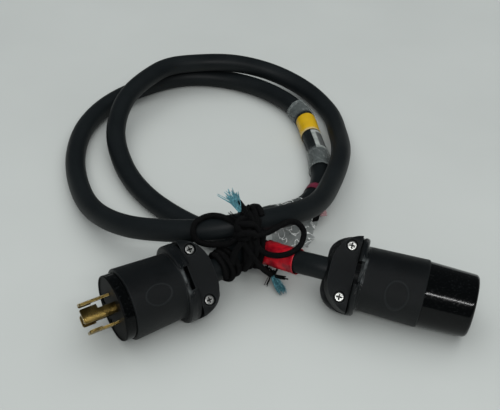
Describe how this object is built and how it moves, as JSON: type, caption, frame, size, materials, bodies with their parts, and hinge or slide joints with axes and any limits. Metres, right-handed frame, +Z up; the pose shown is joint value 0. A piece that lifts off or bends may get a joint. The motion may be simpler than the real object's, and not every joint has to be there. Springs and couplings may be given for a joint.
{
  "type": "shore power cord",
  "caption": "Short heavy rubber cord set with a locking plug, a locking connector and two-screw cord clamps, looped and tied with a lace.",
  "frame": {"origin": "bottom centre of the box round the plug and the connector, on the surface they lie on", "axes": "+Z up from the surface, +X from the plug to the connector, -Y towards the two mouths"},
  "size_m": [0.3105, 0.3518, 0.0661],
  "materials": {
    "housing_rubber": "fine matte texture",
    "glossy_black": "high gloss",
    "blade_brass": "drawn and stamped",
    "contact_brass": "stamped",
    "zinc_screw": "zinc plated",
    "carrier_plastic": "moulded",
    "plated_brass_screw": "plated",
    "cable_rubber": "soft sheen",
    "insulation_black": "smooth",
    "insulation_red": "smooth",
    "insulation_white": "smooth",
    "insulation_green": "smooth",
    "lace_black": "braided",
    "lace_core": "loose fibres",
    "tape_red": "smooth tape",
    "tape_yellow": "smooth tape",
    "label_white": "plain and blank",
    "tape_clear": "clear film"
  },
  "bodies": {
    "root": {"plug_housing": "housing_rubber", "plug_front_body": "glossy_black", "plug_blade_ground": "blade_brass", "plug_blade_neutral": "blade_brass", "plug_blade_line_1": "blade_brass", "plug_blade_line_2": "blade_brass", "plug_terminal_screws": "plated_brass_screw", "plug_terminal_plates": "contact_brass", "plug_assembly_screws": "zinc_screw", "plug_wire_black": "insulation_black", "plug_wire_red": "insulation_red", "plug_wire_white": "insulation_white", "plug_wire_green": "insulation_green", "connector_housing": "housing_rubber", "connector_front_body": "glossy_black", "connector_terminal_block": "carrier_plastic", "connector_contact_ground": "contact_brass", "connector_contact_neutral": "contact_brass", "connector_contact_line_1": "contact_brass", "connector_contact_line_2": "contact_brass", "connector_terminal_screws": "plated_brass_screw", "connector_terminal_plates": "contact_brass", "connector_assembly_screws": "zinc_screw", "connector_wire_black": "insulation_black", "connector_wire_red": "insulation_red", "connector_wire_white": "insulation_white", "connector_wire_green": "insulation_green", "cable_jacket": "cable_rubber", "yellow_marker_band": "tape_yellow", "white_label": "label_white", "clear_tape_sleeve": "tape_clear", "clear_tape_wrap": "tape_clear", "red_tape_wrap": "tape_red", "red_marker_band": "tape_red", "tie_lashing": "lace_black", "tie_wrap": "lace_black", "tie_knot": "lace_black", "tie_bow_left": "lace_black", "tie_bow_right": "lace_black", "tie_tail_upper": "lace_black", "tie_tail_lower": "lace_black", "tie_core_upper": "lace_core", "tie_core_lower": "lace_core"},
    "plug_strap": {"plug_clamp_strap": "housing_rubber"},
    "plug_screw_1": {"plug_clamp_screw_1": "zinc_screw"},
    "plug_screw_2": {"plug_clamp_screw_2": "zinc_screw"},
    "connector_strap": {"connector_clamp_strap": "housing_rubber"},
    "connector_screw_1": {"connector_clamp_screw_1": "zinc_screw"},
    "connector_screw_2": {"connector_clamp_screw_2": "zinc_screw"}
  },
  "joints": [
    {"name": "plug_strap_slide", "type": "slide", "parent": "root", "child": "plug_strap", "axis": [0.3395, -0.5461, 0.7659], "range_m": [0, 0.0032]},
    {"name": "plug_screw_1_turn", "type": "hinge", "parent": "plug_strap", "child": "plug_screw_1", "pos_m": [-0.067, 0.01737, 0.03693], "axis": [0.3395, -0.5461, 0.7659], "range_deg": [0, 1440]},
    {"name": "plug_screw_2_turn", "type": "hinge", "parent": "plug_strap", "child": "plug_screw_2", "pos_m": [-0.05163, -0.00517, 0.01405], "axis": [0.3395, -0.5461, 0.7659], "range_deg": [0, 1440]},
    {"name": "connector_strap_slide", "type": "slide", "parent": "root", "child": "connector_strap", "axis": [-0.1011, -0.6361, 0.765], "range_m": [0, 0.0032]},
    {"name": "connector_screw_1_turn", "type": "hinge", "parent": "connector_strap", "child": "connector_screw_1", "pos_m": [0.03925, 0.00629, 0.01451], "axis": [-0.1011, -0.6361, 0.765], "range_deg": [0, 1440]},
    {"name": "connector_screw_2_turn", "type": "hinge", "parent": "connector_strap", "child": "connector_screw_2", "pos_m": [0.04637, 0.03265, 0.03736], "axis": [-0.1011, -0.6361, 0.765], "range_deg": [0, 1440]}
  ],
  "couplings": [
    {"joint": "plug_screw_1_turn", "follows": "plug_strap_slide", "rad_per_m": 7853},
    {"joint": "plug_screw_2_turn", "follows": "plug_strap_slide", "rad_per_m": 7853},
    {"joint": "connector_screw_1_turn", "follows": "connector_strap_slide", "rad_per_m": 7853},
    {"joint": "connector_screw_2_turn", "follows": "connector_strap_slide", "rad_per_m": 7853}
  ]
}
